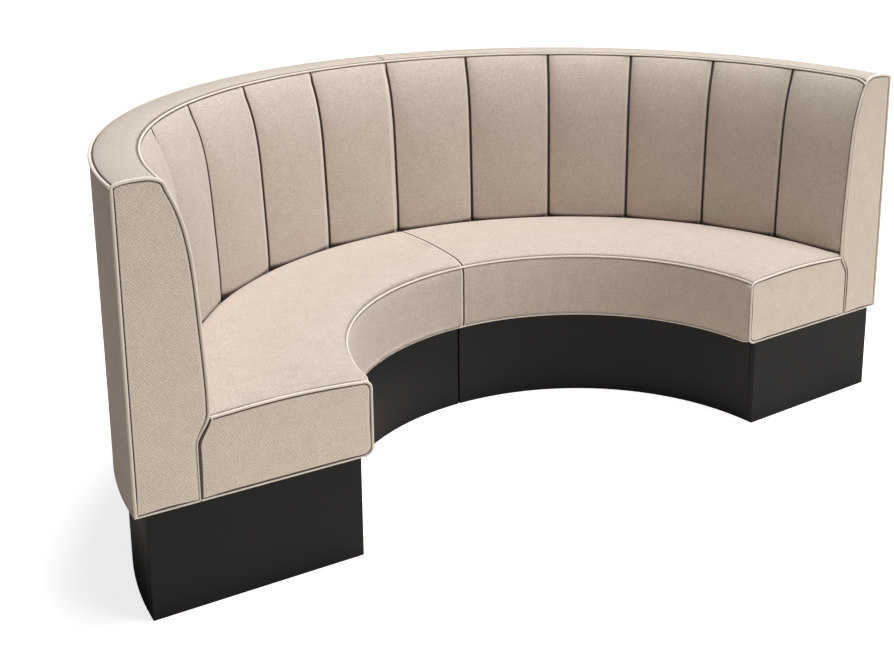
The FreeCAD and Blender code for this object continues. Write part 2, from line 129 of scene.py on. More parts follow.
def spread(low, high, count, *edges):
    """Numbers from low to high, evenly spaced, with extra ones at the given distances from both ends."""
    inner = [low + edge for edge in edges] + [high - edge for edge in edges]
    return np.unique(np.concatenate([np.linspace(low, high, count), inner]))


# %% Painted shade and highlight beside a seam
# Each point carries a tone for its material: above 0 it paints shade on the cloth, below 0 it paints a
# highlight.
PAINTED_TONE_FADE = 0.0015


def seam_shade(distance, reach):
    """Painted shade beside a seam: tone 1 out to reach, fading to 0 just past it."""
    return 1 - smooth((distance - reach) / PAINTED_TONE_FADE)


def seam_highlight(distance, start, stop):
    """Painted highlight beside a seam: tone minus 1 between two distances, with soft ends."""
    return -smooth((distance - start) / PAINTED_TONE_FADE) * (1 - smooth((distance - stop) / PAINTED_TONE_FADE))


# %% [markdown]
# ## From grids to pieces
#
# Each surface is a grid of points with a map in metres beside it, so that the cloth's weave keeps its real
# size and runs along the piece as the cutter laid it. A piece is one or more grids, stitched where their
# edges meet, with flat caps where it ends against a board.

# %% Mesh helpers
WELD = 0.00002
SHARP_EDGE = math.radians(60)


def grid_quads(rows, columns):
    """Corner numbers of the quads between neighbouring rows and columns."""
    first = (np.arange(rows - 1)[:, None] * columns + np.arange(columns - 1)[None, :]).ravel()
    return np.stack([first, first + 1, first + columns + 1, first + columns], -1)


def metres_along(points, axis):
    """Running length along one direction of a grid, measured on its middle line."""
    middle = np.take(points, points.shape[1 - axis] // 2, axis=1 - axis)
    steps = np.linalg.norm(np.diff(middle, axis=0), axis=-1)
    return np.concatenate([[0], np.cumsum(steps)])


def cloth_map(points):
    """Map of a grid in metres: its columns run across and its rows run up."""
    up, across = metres_along(points, 0), metres_along(points, 1)
    return np.stack(np.broadcast_arrays(across[None, :], up[:, None]), -1)


# %% One piece from its grids


def bench_piece(name, mesh, sharp):
    """A piece of the bench from its mesh: smooth, but for edges that turn by more than the sharp angle."""
    mesh.polygons.foreach_set("use_smooth", [True] * len(mesh.polygons))
    mesh.set_sharp_from_angle(angle=sharp)
    piece = bpy.data.objects.new(name, mesh)
    bpy.context.collection.objects.link(piece)
    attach(piece, "bench")
    print(name, len(mesh.polygons), "faces")
    return piece


def make_piece(name, side, grids, material, caps):
    """One mesh from grids of section points. Each grid is (points, map, tone). caps are loops of points that
    are closed with one flat face each. Doubles are merged and the normals made to point outwards."""
    points, maps, tones, quads, offset = [], [], [], [], 0
    for grid_points, grid_map, grid_tone in grids:
        rows, columns = grid_points.shape[:2]
        points.append(grid_points.reshape(-1, 3))
        maps.append(grid_map.reshape(-1, 2))
        tones.append(np.broadcast_to(grid_tone, (rows, columns)).ravel())
        quads.append(grid_quads(rows, columns) + offset)
        offset += rows * columns
    faces = np.concatenate(quads).tolist()
    for loop in caps:
        points.append(loop)
        maps.append(loop[:, [0, 2]])
        tones.append(np.zeros(len(loop)))
        faces.append(list(range(offset, offset + len(loop))))
        offset += len(loop)
    mesh = bpy.data.meshes.new(name)
    mesh.from_pydata(place(np.concatenate(points), side), [], faces)
    corners = np.concatenate([np.asarray(face) for face in faces])
    layer = mesh.uv_layers.new(name="cloth")
    layer.data.foreach_set("uv", np.concatenate(maps)[corners].astype(np.float32).ravel())
    tone = mesh.attributes.new("tone", "FLOAT", "POINT")
    tone.data.foreach_set("value", np.concatenate(tones).astype(np.float32))
    work = bmesh.new()
    work.from_mesh(mesh)
    bmesh.ops.remove_doubles(work, verts=work.verts, dist=WELD)
    bmesh.ops.dissolve_degenerate(work, edges=work.edges, dist=WELD)
    bmesh.ops.recalc_face_normals(work, faces=work.faces)
    work.to_mesh(mesh)
    work.free()
    mesh.materials.append(material)
    return bench_piece(name, mesh, SHARP_EDGE)


def closed_strip(loops, tone=None):
    """Grid and end caps of a closed section carried along a path. loops[path, section] doesn't repeat its
    first section point, and tone covers the first points of each section."""
    wrapped = np.concatenate([loops, loops[:, :1]], 1)
    shades = np.zeros(wrapped.shape[:2])
    if tone is not None:
        shades[:, :tone.shape[1]] = tone
    return (wrapped, cloth_map(wrapped)[..., ::-1], shades), (loops[0], loops[-1])


# %% [markdown]
# ## Letting the cloth settle over its foam
#
# On the real bench the foam is cut a little larger than its cover, so it pushes the cloth out until the
# seams hold it. A cloth simulation does the same: the seams are pinned, a pressure from inside takes the
# foam's place, and gravity is off. The movement is capped, because taut upholstery gives only a few
# millimetres. It is run on the right section, and the left one is given the same movement, mirrored.

# %% Cloth simulation
LAST_FRAME = 14
FABRIC = {"quality": 4, "mass": 0.3, "tension_stiffness": 25, "compression_stiffness": 25,
          "shear_stiffness": 10, "bending_stiffness": 2, "use_pressure": True, "uniform_pressure_force": 4.0}


def mesh_points(mesh):
    """Points of a mesh, one row each."""
    points = np.empty(len(mesh.vertices) * 3, np.float32)
    mesh.vertices.foreach_get("co", points)
    return points.reshape(-1, 3)


def section_place(points, side):
    """Radius, angle and height in a section of points on the bench: place(), backwards."""
    x, y = SIDES[side] * points[:, 0], points[:, 1] + AXIS_BACK
    return np.hypot(x, y), np.arctan2(y, x) - TURN_IN, points[:, 2]


def settled(piece, hold):
    """Points of a piece after its simulation. hold is 1 at a point that its seam keeps in place and 0 where
    the cloth is free."""
    group = piece.vertex_groups.new(name="sewn")
    for level in np.unique(hold):
        group.add(np.flatnonzero(hold == level).tolist(), float(level), "REPLACE")
    cloth = piece.modifiers.new("padding", "CLOTH")
    for name, setting in FABRIC.items():
        setattr(cloth.settings, name, setting)
    cloth.settings.effector_weights.gravity = 0
    cloth.settings.vertex_group_mass = "sewn"
    cloth.point_cache.frame_start, cloth.point_cache.frame_end = 1, LAST_FRAME
    scene = bpy.context.scene
    for frame_number in range(1, LAST_FRAME + 1):
        scene.frame_set(frame_number)
    shaped = mesh_points(piece.evaluated_get(bpy.context.evaluated_depsgraph_get()).data)
    piece.modifiers.remove(cloth)
    piece.vertex_groups.remove(group)
    scene.frame_set(1)
    return shaped


def let_out(pieces, hold_of, cap):
    """Simulates the right piece and moves both: each point's movement is cut to at most cap metres."""
    right = pieces["right"]
    resting = mesh_points(right.data)
    move = settled(right, hold_of(*section_place(resting, "right"))) - resting
    length = np.linalg.norm(move, axis=-1, keepdims=True)
    move *= np.minimum(1, cap / np.maximum(length, 1e-9))
    for side, piece in pieces.items():
        points = mesh_points(piece.data) + move * [SIDES[side], 1, 1]
        piece.data.vertices.foreach_set("co", points.astype(np.float32).ravel())
        piece.data.update()
    print(right.name, "let out by up to", round(min(float(length.max()), cap), 4), "m")


# %% [markdown]
# ## Materials
#
# No finish on the bench is one flat colour. Each is built from noise or waves at the size of its threads,
# grain or grit, which shift the colour and raise a fine relief.

# %% Colour and node helpers


def linear(code):
    """sRGB hex to linear red, green, blue and alpha: (c / 12.92) below 0.04045, else ((c + 0.055) / 1.055)
    to the power 2.4."""
    values = [int(code[start:start + 2], 16) / 255 for start in (1, 3, 5)]
    return [v / 12.92 if v <= 0.04045 else ((v + 0.055) / 1.055) ** 2.4 for v in values] + [1.0]


def add(tree, kind, inputs=(), **settings):
    """Adds a shader node, sets its settings, and fills each input with a number or a link."""
    node = tree.nodes.new("ShaderNode" + kind)
    for name, setting in settings.items():
        setattr(node, name, setting)
    for name, given in dict(inputs).items():
        if isinstance(given, bpy.types.NodeSocket):
            tree.links.new(given, node.inputs[name])
        else:
            node.inputs[name].default_value = given
    return node


def new_material(name):
    """An empty material, its node tree, and the place of a point on the bench for its patterns."""
    material = bpy.data.materials.new(name)
    material.use_nodes = True
    tree = material.node_tree
    tree.nodes.clear()
    return material, tree, add(tree, "TexCoord").outputs["Object"]


# %% [markdown]
# ## The cloth
#
# The cloth is a greige polyester and linen weave. From a step away it shows slubby threads, raised fibres
# and a soft mottle, and on the flat end faces the short diagonal dashes of a basket weave. Its fibres catch
# light at grazing angles, which is what the sheen does. The piping is the same cloth in a paler tone, wound
# round a cord. One function makes all three, with other weights. Threads and dashes follow the piece's own
# map, and fibres and mottle its place on the bench.

# %% Patterns of the weave
# The real threads are about 0.5 mm thick, too fine to show in a view of the whole bench, so threads, fibres
# and dashes are drawn coarser, as they need to be to show.
THREAD, SLUB_LENGTH = 0.0030, 0.030
FIBRE_SIZE = 0.0044
DASH_PITCH, DASH_PATCH = 0.0049, 0.011
MOTTLE_SIZE, MOTTLE = 0.045, 0.22


def threads(tree, flat, along):
    """Uneven threads that run one way: noise stretched into slubs."""
    scale = (1 / THREAD, 1 / SLUB_LENGTH, 1) if along == "Y" else (1 / SLUB_LENGTH, 1 / THREAD, 1)
    drawn = add(tree, "Mapping", {"Vector": flat, "Scale": scale}).outputs["Vector"]
    return add(tree, "TexNoise", {"Vector": drawn, "Scale": 1.0, "Detail": 2.0,
                                  "Roughness": 0.6}).outputs["Fac"]


def bands(tree, vector, direction):
    """Uneven waves across one direction at the dashes' pitch. The node's own period is a tenth of pi at
    scale 1."""
    scale = math.pi / 10 / DASH_PITCH
    return add(tree, "TexWave", {"Vector": vector, "Scale": scale, "Distortion": 3.0, "Detail": 2.0,
                                 "Detail Scale": 2.0}, bands_direction=direction).outputs["Fac"]


def diagonal_dashes(tree, flat):
    """Short diagonal dashes, rising in one patch of the cloth and falling in the next: two waves at right
    angles, with noise to choose between them."""
    turned = add(tree, "Mapping", {"Vector": flat, "Rotation": (0, 0, math.radians(45))}).outputs["Vector"]
    patch = add(tree, "TexNoise", {"Vector": flat, "Scale": 1 / DASH_PATCH, "Detail": 1.0}).outputs["Fac"]
    choice = add(tree, "MapRange", {"Value": patch, "From Min": 0.44, "From Max": 0.56}).outputs["Result"]
    return add(tree, "Mix", {"Factor": choice, "A": bands(tree, turned, "X"), "B": bands(tree, turned, "Y")},
               data_type="FLOAT").outputs["Result"]


def weighed(tree, *pairs):
    """Sum of values times their weights."""
    total = 0.0
    for given, weight in pairs:
        total = add(tree, "Math", {0: given, 1: weight, 2: total}, operation="MULTIPLY_ADD").outputs["Value"]
    return total


# %% Woven cloth
CONTRAST = 0.32
# A painted highlight in cream and painted shade in brown, mixed into the cloth by the tone attribute.
HIGHLIGHT_CREAM, HIGHLIGHT_WEIGHT = "#f3e9de", -0.75
SHADE_BROWN, SHADE_WEIGHT = "#38230f", 0.94


def woven_cloth(name, pale, deep, slubs, dashes, grain, relief):
    """Upholstery cloth between two colours. The weights set how much shows of the threads that cross along
    and across the piece, of the dashes on both diagonals and of the fibres, and relief is the height of the
    weave. The tone attribute adds a painted highlight and painted shade beside the seams."""
    material, tree, solid = new_material(name)
    flat = add(tree, "UVMap", uv_map="cloth").outputs["UV"]
    warp, weft = [threads(tree, flat, along) for along in "YX"]
    dashed = diagonal_dashes(tree, flat)
    fibre = add(tree, "TexNoise", {"Vector": solid, "Scale": 1 / FIBRE_SIZE, "Detail": 3.0,
                                   "Roughness": 0.7}).outputs["Fac"]
    mottle = add(tree, "TexNoise", {"Vector": solid, "Scale": 1 / MOTTLE_SIZE, "Detail": 4.0,
                                    "Roughness": 0.6}).outputs["Fac"]
    shade = weighed(tree, (warp, slubs), (weft, slubs), (dashed, dashes), (fibre, grain), (mottle, MOTTLE))
    middle = slubs + 0.5 * (dashes + grain + MOTTLE)
    tint = add(tree, "MapRange", {"Value": shade, "From Min": middle - CONTRAST,
                                  "From Max": middle + CONTRAST}).outputs["Result"]
    cloth = add(tree, "Mix", {"Factor": tint, 6: linear(deep), 7: linear(pale)}, data_type="RGBA").outputs[2]
    tone = add(tree, "Attribute", attribute_name="tone").outputs["Fac"]
    # Mixes in the painted highlight, then the painted shade, by the tone attribute.
    for colour, weight in ((HIGHLIGHT_CREAM, HIGHLIGHT_WEIGHT), (SHADE_BROWN, SHADE_WEIGHT)):
        share = add(tree, "Math", {0: tone, 1: weight}, operation="MULTIPLY", use_clamp=True).outputs["Value"]
        cloth = add(tree, "Mix", {"Factor": share, 6: cloth, 7: linear(colour)}, data_type="RGBA").outputs[2]
    height = weighed(tree, (warp, relief), (weft, relief), (fibre, relief), (dashed, relief * 3 * dashes))
    bump = add(tree, "Bump", {"Height": height, "Strength": 0.7, "Distance": 1.0}).outputs["Normal"]
    shader = add(tree, "BsdfPrincipled", {"Base Color": cloth, "Roughness": 0.88, "Sheen Weight": 0.2,
                                          "Sheen Roughness": 0.5, "Specular IOR Level": 0.25, "Normal": bump})
    add(tree, "OutputMaterial", {"Surface": shader.outputs["BSDF"]})
    return material


CLOTH = woven_cloth("greige_upholstery_cloth", "#ddd2c7", "#b0a294", 0.22, 0.05, 1.10, 0.0003)
END_CLOTH = woven_cloth("greige_cloth_basket_weave", "#fff6ea", "#cbb9a6", 0.10, 0.42, 0.35, 0.0003)
PIPING_CLOTH = woven_cloth("cream_piping_cloth", "#fbf3e9", "#e6dacb", 0.20, 0.05, 0.30, 0.0001)
print("cloths:", CLOTH.name, END_CLOTH.name, PIPING_CLOTH.name)

# %% [markdown]
# ## Lacquer, plywood and zinc
#
# The plinth is board with a sprayed matt black lacquer, whose fine orange peel softens what it reflects. The
# boards inside are bare birch plywood, pale, with long soft grain, and the fasteners are steel with a bright
# zinc plate, a little dulled.

# %% Lacquer, plywood and zinc plate
# Sizes of the lacquer's orange peel and cloudy sheen, the birch's grain, and the zinc's dull patches.
PEEL_SIZE, CLOUD_SIZE = 0.00385, 0.2
GRAIN_LENGTH, GRAIN_WIDTH = 0.0833, 0.00625
DULL_PATCH = 0.011


def matt_lacquer(name, colour):
    """Sprayed matt lacquer on board: nearly black, with a very fine orange-peel surface."""
    material, tree, solid = new_material(name)
    peel = add(tree, "TexNoise", {"Vector": solid, "Scale": 1 / PEEL_SIZE, "Detail": 2.0}).outputs["Fac"]
    cloud = add(tree, "TexNoise", {"Vector": solid, "Scale": 1 / CLOUD_SIZE, "Detail": 3.0}).outputs["Fac"]
    rough = add(tree, "MapRange", {"Value": cloud, "To Min": 0.42, "To Max": 0.56}).outputs["Result"]
    bump = add(tree, "Bump", {"Height": peel, "Strength": 0.12, "Distance": 0.0004}).outputs["Normal"]
    shader = add(tree, "BsdfPrincipled", {"Base Color": linear(colour), "Roughness": rough, "Normal": bump,
                                          "Specular IOR Level": 0.3})
    add(tree, "OutputMaterial", {"Surface": shader.outputs["BSDF"]})
    return material


def birch_plywood(name):
    """Bare birch plywood: noise stretched along the boards between two wood colours."""
    material, tree, solid = new_material(name)
    scale = (1 / GRAIN_LENGTH, 1 / GRAIN_LENGTH, 1 / GRAIN_WIDTH)
    drawn = add(tree, "Mapping", {"Vector": solid, "Scale": scale}).outputs["Vector"]
    grain = add(tree, "TexNoise", {"Vector": drawn, "Scale": 1.0, "Detail": 5.0}).outputs["Fac"]
    wood = add(tree, "Mix", {"Factor": grain, 6: linear("#b99a72"), 7: linear("#dcc7a3")},
               data_type="RGBA").outputs[2]
    bump = add(tree, "Bump", {"Height": grain, "Strength": 0.2, "Distance": 0.0005}).outputs["Normal"]
    shader = add(tree, "BsdfPrincipled", {"Base Color": wood, "Roughness": 0.65, "Normal": bump})
    add(tree, "OutputMaterial", {"Surface": shader.outputs["BSDF"]})
    return material


def zinc_plate(name):
    """Bright zinc plating on steel, lightly dulled in patches."""
    material, tree, solid = new_material(name)
    cloud = add(tree, "TexNoise", {"Vector": solid, "Scale": 1 / DULL_PATCH, "Detail": 3.0}).outputs["Fac"]
    rough = add(tree, "MapRange", {"Value": cloud, "To Min": 0.28, "To Max": 0.45}).outputs["Result"]
    shader = add(tree, "BsdfPrincipled", {"Base Color": linear("#c3c6c9"), "Metallic": 1.0,
                                          "Roughness": rough})
    add(tree, "OutputMaterial", {"Surface": shader.outputs["BSDF"]})
    return material


LACQUER = matt_lacquer("matt_black_lacquer", "#0e0c0b")
PLYWOOD = birch_plywood("bare_birch_plywood")
ZINC = zinc_plate("zinc_plated_steel")

# %% Finish of the boards and fasteners
FINISHES = {"plinth": LACQUER, "frame_board": PLYWOOD, "zinc_steel": ZINC, "upholstery": CLOTH,
            "piping": PIPING_CLOTH}
for part in frame["record"]["subparts"]:
    node = frame["nodes"][part["node"]]
    node.data.materials.clear()
    node.data.materials.append(FINISHES[part["material_slot"]])

# %% [markdown]
# ## The shape of the back
#
# The back is upright at the seat, bows towards the small of the sitter's back, and rolls away at the top. Its
# depth at a height is one smooth curve through five depths. At each end of the bench the crisp inner edge
# of the top dips and turns into the rounded corner of the arm-like end face.

# %% Back profile
CHANNEL_FOOT, CHANNEL_HEAD = 0.4003, 0.998
TOP_DEPTH, BACK_DEPTH = 0.102, 0.170
HEIGHT_SHARES = (0.0, 0.27, 0.6, 0.87, 1.0)
DEPTH_SHARES = (0.97, 1.04, 0.88, 0.51, 0.0)
DEPTH_CURVE = np.polyfit(HEIGHT_SHARES, DEPTH_SHARES, 4)
END_DIP_LENGTH, END_DIP = 0.06, 0.014


def seam_radius(height):
    """Radius of the channels' seams: outer radius less a depth that follows the fourth-power curve through
    the five depths."""
    share = (height - CHANNEL_FOOT) / (CHANNEL_HEAD + PIPING - CHANNEL_FOOT)
    return OUTER_RADIUS - TOP_DEPTH - (BACK_DEPTH - TOP_DEPTH) * np.polyval(DEPTH_CURVE, np.clip(share, 0, 1))


def inner_edge(distance):
    """Radius and height of the back's inner top edge at a distance from the end face. The last stretch dips
    by a square law into the end's rounded corner."""
    dip = END_DIP * np.clip(1 - distance / END_DIP_LENGTH, 0, 1) ** 2
    height = BACK_EDGE_HEIGHT - dip
    return np.minimum(OUTER_RADIUS - TOP_DEPTH, seam_radius(height - PIPING)), height


print("radius of the seams at the seat", round(float(seam_radius(CROWN_BACK)), 3), "m")

# %% [markdown]
# ## The channelled back
#
# Each channel is foam under cloth, sewn down along two upright seams, so it bulges past the straight line
# between them and turns in sharply beside each seam. Its front is worked out as a function of the angle
# round the bench and the height. The seams are real grooves, because their dark line is what the eye reads,
# and painted shade deepens that line. A painted highlight runs beside the dark line on the same side of every
# seam, so this painted tone isn't mirrored between the sections, and the shape is.

# %% Channels
CHANNEL_STEP = SECTION_ANGLE / CHANNELS
HALF_STEP = CHANNEL_STEP / 2
CHANNEL_SWELL, SWELL_TOP = 0.0052, 0.06
SEAM_WIDTH, SEAM_DEPTH, SEAM_TOP = 0.032, 0.012, 0.035
END_START, END_TUCK = 0.0015, 0.5
BESIDE_SEAM = (0.0, 0.0009, 0.0018, 0.0028, 0.004, 0.0055, 0.0075, 0.01, 0.013, 0.017, 0.022, 0.028, 0.04,
               0.06, 0.08)


def channel_columns():
    """Angles across all channels of a section, closer together beside each seam."""
    near = np.array(BESIDE_SEAM)
    offsets = np.concatenate([near, [HALF_STEP], CHANNEL_STEP - near[::-1]])
    angle = np.concatenate([offsets + CHANNEL_STEP * number for number in range(CHANNELS)])
    return np.unique(np.maximum(angle, END_START / SPLIT_RADIUS))


def seam_share(angle):
    """How near an angle is to a seam: 0 in the middle of its channel and 1 at the seam."""
    offset = (angle % CHANNEL_STEP) - HALF_STEP
    return np.where(angle >= SECTION_ANGLE, 1.0, np.abs(offset) / HALF_STEP)


def seam_distance(angle, height):
    """Metres round the back to the nearest seam."""
    return (1 - seam_share(angle)) * HALF_STEP * seam_radius(height)


def channel_front(angle, height):
    """Radius of the channels' face: the straight line between two seams, less a swell that is flat in the
    middle, eased to a plain circle under the top piping, plus the groove's depth beside a seam."""
    share = seam_share(angle)
    seam = seam_radius(height)
    straight = seam * math.cos(HALF_STEP) / np.cos(share * HALF_STEP)
    padding = (seam - straight) + CHANNEL_SWELL * (1 - share ** 4)
    depth = SEAM_DEPTH * np.where(angle < HALF_STEP, END_TUCK, 1.0)
    groove = roll_off(seam_distance(angle, height), SEAM_WIDTH, depth)
    under_piping = CHANNEL_HEAD - height
    return seam - padding * ellipse_rise(under_piping / SWELL_TOP) + groove * smooth(under_piping / SEAM_TOP)


# %% Channels as a piece
BELOW_SEAT, LINING, FOOT_ROLL = 0.02, 0.004, (0.03, 0.006)
INNER_EDGE_SHARE = 0.9
# Reaches of the painted shade beside the seams, the end, the seat and the top, and of the painted highlight
# on one side.
SEAM_SHADE, END_SHADE, SEAT_SHADE = 0.0044, 0.0085, 0.001
TOP_SHADE, TOP_TONE = 0.0045, 0.85
HIGHLIT_SIDE_SHADE = {"left": 0.0010, "right": 0.0030}
HIGHLIGHT_REACH = {"left": (0.0055, 0.0170), "right": (0.0052, 0.0095)}
HIGHLIGHT_TONE = {"left": 0.55, "right": 0.45}


def on_highlit_side(angle, side):
    """True on the side of each seam that gets the painted highlight: to the sitter's right of it, all round
    the bench.
    """
    later_half = angle % CHANNEL_STEP > HALF_STEP
    return later_half if side == "left" else ~later_half & (angle > HALF_STEP)


def there_and_back(out, back):
    """Section points that run along one face and return along the other."""
    return np.concatenate([out, back[:, ::-1]], 1)


def upholstered(name, side, loops, tone):
    """A padded piece of cloth from a closed section carried along a path."""
    strip, caps = closed_strip(loops, tone)
    piece = make_piece(name + "_" + side, side, [strip], CLOTH, caps)
    return piece


def back_channels(side):
    """The channels' face, from below the seat's edge to the top piping, and a plain lining behind it."""
    angle = channel_columns()[:, None]
    share = spread(0, 1, 60, 0.002, 0.005, 0.008, 0.012, 0.018)[None, :]
    low = SEAT_EDGE_HEIGHT - BELOW_SEAT
    _, top = inner_edge(angle * OUTER_RADIUS * INNER_EDGE_SHARE)
    height = low + (top - PIPING - low) * share
    front = channel_front(angle, height) + roll_off(height - low, *FOOT_ROLL)
    rear = np.broadcast_to(seam_radius(height).max(1, keepdims=True) + LINING, height.shape)
    apart = seam_distance(angle, height)
    highlit = on_highlit_side(angle, side)
    # Painted shade beside the seams, under the top piping, at the end face and at the seat, and a painted
    # highlight on one side of each seam.
    tone = seam_shade(apart, np.where(highlit, HIGHLIT_SIDE_SHADE[side], SEAM_SHADE))
    tone = np.maximum(tone, TOP_TONE * seam_shade(top - height, TOP_SHADE))
    tone = np.maximum(tone, seam_shade(angle * SPLIT_RADIUS, END_SHADE))
    tone = np.maximum(tone, seam_shade(height - CROWN_BACK, SEAT_SHADE))
    tone = tone + highlit * HIGHLIGHT_TONE[side] * seam_highlight(apart, *HIGHLIGHT_REACH[side])
    loops = there_and_back(polar(front, angle, height), polar(rear, angle, height))
    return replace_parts(upholstered("channels", side, loops, tone), side + "_back_channels")


def channels_hold(radius, angle, height):
    """Held at the back, under the seat and the top piping, and within 6 mm of a seam."""
    front = radius < seam_radius(height) + 0.003
    clear = seam_distance(angle, height) > 0.006
    return 1.0 - (front & clear & (height > CROWN_BACK + 0.006) & (height < CHANNEL_HEAD - 0.03))


channels = {side: back_channels(side) for side in SIDES}
let_out(channels, channels_hold, cap=0.006)

# %% [markdown]
# ## The padded top band
#
# A strip of cloth over foam closes the top of the back between two pipings. It is domed, with its edges drawn
# down to the cords.

# %% Top band
BAND_HEIGHT, BAND_THICKNESS, BAND_INSET = 1.0115, 0.006, 0.002
BAND_OUTER = OUTER_RADIUS - 0.003
BAND_OUTER_HEIGHT = BACK_EDGE_HEIGHT - 0.002
INNER_DOME, OUTER_DOME = 0.42, 0.5
JOINT_ROLL, JOINT_SHADE = (0.008, 0.004), 0.0008
NEAR_END = (0.0008, 0.0018, 0.003, 0.0045, 0.006, 0.0075, 0.01, 0.016, 0.024, 0.035, 0.05, 0.07)


def band_height(share, distance):
    """Height of the band's top at a share of its width from the inner edge, and a distance from the end: a
    quarter ellipse up from each edge."""
    _, inner_height = inner_edge(distance)
    inner_drop = BAND_HEIGHT - inner_height + 0.001
    outer_drop = BAND_HEIGHT - BAND_OUTER_HEIGHT
    return (BAND_HEIGHT - inner_drop * (1 - ellipse_rise(share / INNER_DOME))
            - outer_drop * (1 - ellipse_rise((1 - share) / OUTER_DOME)))


def section_angles(radius, count, start=0.0):
    """Angles from the end face to the joint, with more near both ends. start is the length that is left free
    at the end face."""
    near = np.array(NEAR_END) / radius
    return spread(start / radius, SECTION_ANGLE, count, *near)


def top_band(side):
    """The dome across the back's thickness, and a flat underside below its inner edge."""
    angle = section_angles(OUTER_RADIUS, 60, start=0.004)[:, None]
    distance, joint = angle * OUTER_RADIUS, (SECTION_ANGLE - angle) * OUTER_RADIUS
    share = spread(0, 1, 20, 0.01, 0.02, 0.03, 0.045, 0.06, 0.08)[None, :]
    inner, inner_height = inner_edge(distance)
    inner = inner + BAND_INSET
    radius = inner + (BAND_OUTER - inner) * share
    height = band_height(share, distance) - roll_off(joint, *JOINT_ROLL)
    from_outer = np.minimum((1 - share) * TOP_DEPTH, distance)
    # Painted shade beside both pipings and at the joint.
    tone = np.maximum(seam_shade(from_outer, 0.0048), 0.7 * seam_shade(share * TOP_DEPTH, 0.0040))
    tone = np.maximum(tone, seam_shade(joint, JOINT_SHADE))
    lower = np.broadcast_to(np.minimum(inner_height, height[:, :1]) - BAND_THICKNESS, height.shape)
    loops = there_and_back(polar(radius, angle, height), polar(radius, angle, lower))
    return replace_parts(upholstered("top_band", side, loops, tone), side + "_back_top_band")


for side in SIDES:
    top_band(side)

# %% [markdown]
# ## The outside cover
#
# The cloth on the outside is stretched over thin foam on a curved board. It is a plain round wall whose edges
# are drawn in to the piping.

# %% Outside cover
NEAR_SEAM = (0.001, 0.002, 0.0032, 0.0045, 0.006, 0.0075, 0.009, 0.011, 0.014, 0.02)
COVER_PROUD, COVER_DEPTH = 0.001, 0.0125
COVER_TOP = BACK_EDGE_HEIGHT - 0.003
COVER_ROLL, HEM_ROLL = (0.014, 0.005), (0.01, 0.003)
HEM_SHADE, HEM_STITCH, STITCH_WIDTH, STITCH_TONE = 0.003, 0.0075, 0.0016, 0.55


def hem_tone(height):
    """Painted shade over the thin bottom piping, and the line of stitches above it."""
    above = height - COVER_BOTTOM
    stitches = 1 - smooth(np.abs(above - HEM_STITCH) / STITCH_WIDTH)
    return np.maximum(seam_shade(above, HEM_SHADE), STITCH_TONE * stitches)


def outside_cover(side):
    """A round wall whose four edges roll in by quarter ellipses, and a plain wall inside it."""
    angle = section_angles(OUTER_RADIUS, 70, start=0.004)[:, None]
    end, joint = angle * OUTER_RADIUS, (SECTION_ANGLE - angle) * OUTER_RADIUS
    height = spread(COVER_BOTTOM, COVER_TOP, 24, *NEAR_SEAM)[None, :]
    outer = (OUTER_RADIUS + COVER_PROUD - roll_off(height - COVER_BOTTOM, *HEM_ROLL)
             - roll_off(COVER_TOP - height, *COVER_ROLL)
             - roll_off(end, *COVER_ROLL) - roll_off(joint, *JOINT_ROLL))
    inner = np.full_like(outer, OUTER_RADIUS - COVER_DEPTH)
    # Painted shade under the top piping, beside the end and the joint, and over the hem.
    tone = np.maximum(seam_shade(np.minimum(BACK_EDGE_HEIGHT - height, end), 0.005), seam_shade(joint, JOINT_SHADE))
    tone = np.maximum(tone, hem_tone(height))
    loops = there_and_back(polar(outer, angle, height), polar(inner, angle, height))
    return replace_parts(upholstered("outside_cover", side, loops, tone),
                       side + "_outside_back_cover")


for side in SIDES:
    outside_cover(side)

# %% [markdown]
# ## The end faces
#
# Each end of the bench is flat and padded: the tall face of the back, and the face of the seat beside it. The
# split line between them bends in an S to meet the back's inner edge. A pad like this is drawn as rings that
# run from its sewn outline to a line in its middle, and it swells as they leave the seam.

# %% Outlines of the end faces
END_INSET = 0.002
SEAT_SEAM = SEAT_FRONT + 0.002
SEAT_CORNER = 0.020
END_RISE, END_CROWN = 0.004, 0.009
SEAT_BEND, BEND_DROP, BEND_GAP = 0.468, 0.075, 0.0025
BEND = np.linspace(0, 1, 20)
ALONG, UP = np.array([1.0, 0.0]), np.array([0.0, 1.0])


def bend_curve(inset):
    """The S-shaped run from the back's inner edge to the split line, moved inwards by an inset."""
    start = seam_radius(SEAT_BEND)
    along = start + (SPLIT_RADIUS - start) * smooth(BEND)
    return np.stack([along - inset, SEAT_BEND - inset - BEND_DROP * BEND], -1)


def run(first, last, count):
    """Evenly spaced points between two, without the first."""
    return np.linspace(first, last, count + 1)[1:]


def back_outline():
    """Outline of the tall end face, from its outer foot up, over the dome, down the inner edge, through the
    bend and down the split line. The last points run along the foot. Also the number before the foot."""
    outer = OUTER_RADIUS - END_INSET
    side_run = np.linspace((outer, COVER_BOTTOM), (outer, BAND_OUTER_HEIGHT), 40)
    inner_radius, inner_height = inner_edge(np.zeros(1))
    share = np.linspace(1, 0, 24)[1:]
    dome = np.stack([inner_radius + (BAND_OUTER - inner_radius) * share, band_height(share, 0.0)], -1)
    fall = np.linspace(inner_height[0] - PIPING, SEAT_BEND + PIPING, 40)
    inner = np.stack([seam_radius(fall), fall], -1)
    bend = bend_curve(0.0)
    split = run(bend[-1], (SPLIT_RADIUS, COVER_BOTTOM), 16)
    foot = run(split[-1], (outer, COVER_BOTTOM), 12)[:-1]
    upright = np.concatenate([side_run, dome, inner, bend, split])
    return np.concatenate([upright, foot]), len(upright)


